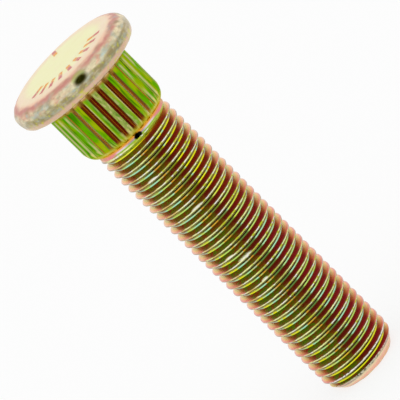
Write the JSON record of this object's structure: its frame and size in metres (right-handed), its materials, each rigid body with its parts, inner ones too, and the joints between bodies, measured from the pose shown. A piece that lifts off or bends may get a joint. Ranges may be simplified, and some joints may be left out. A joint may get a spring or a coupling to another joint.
{
  "type": "wheel stud",
  "caption": "Wheel stud with a flat round head, a serrated press-fit shoulder, a short plain neck and a right-handed thread.",
  "frame": {"origin": "centre of the flat end face at the threaded end, which the stud stands on", "axes": "+Z along the stud's axis from the threaded end up to the head; +X and +Y across it, with one serration's land facing -Y"},
  "size_m": [0.0184, 0.0184, 0.0553],
  "materials": {
    "yellow_zinc": "zinc plated with a yellow, iridescent chromate film, worn bare on the thread's crests"
  },
  "bodies": {
    "root": {"wheel_stud": "yellow_zinc"}
  },
  "joints": []
}
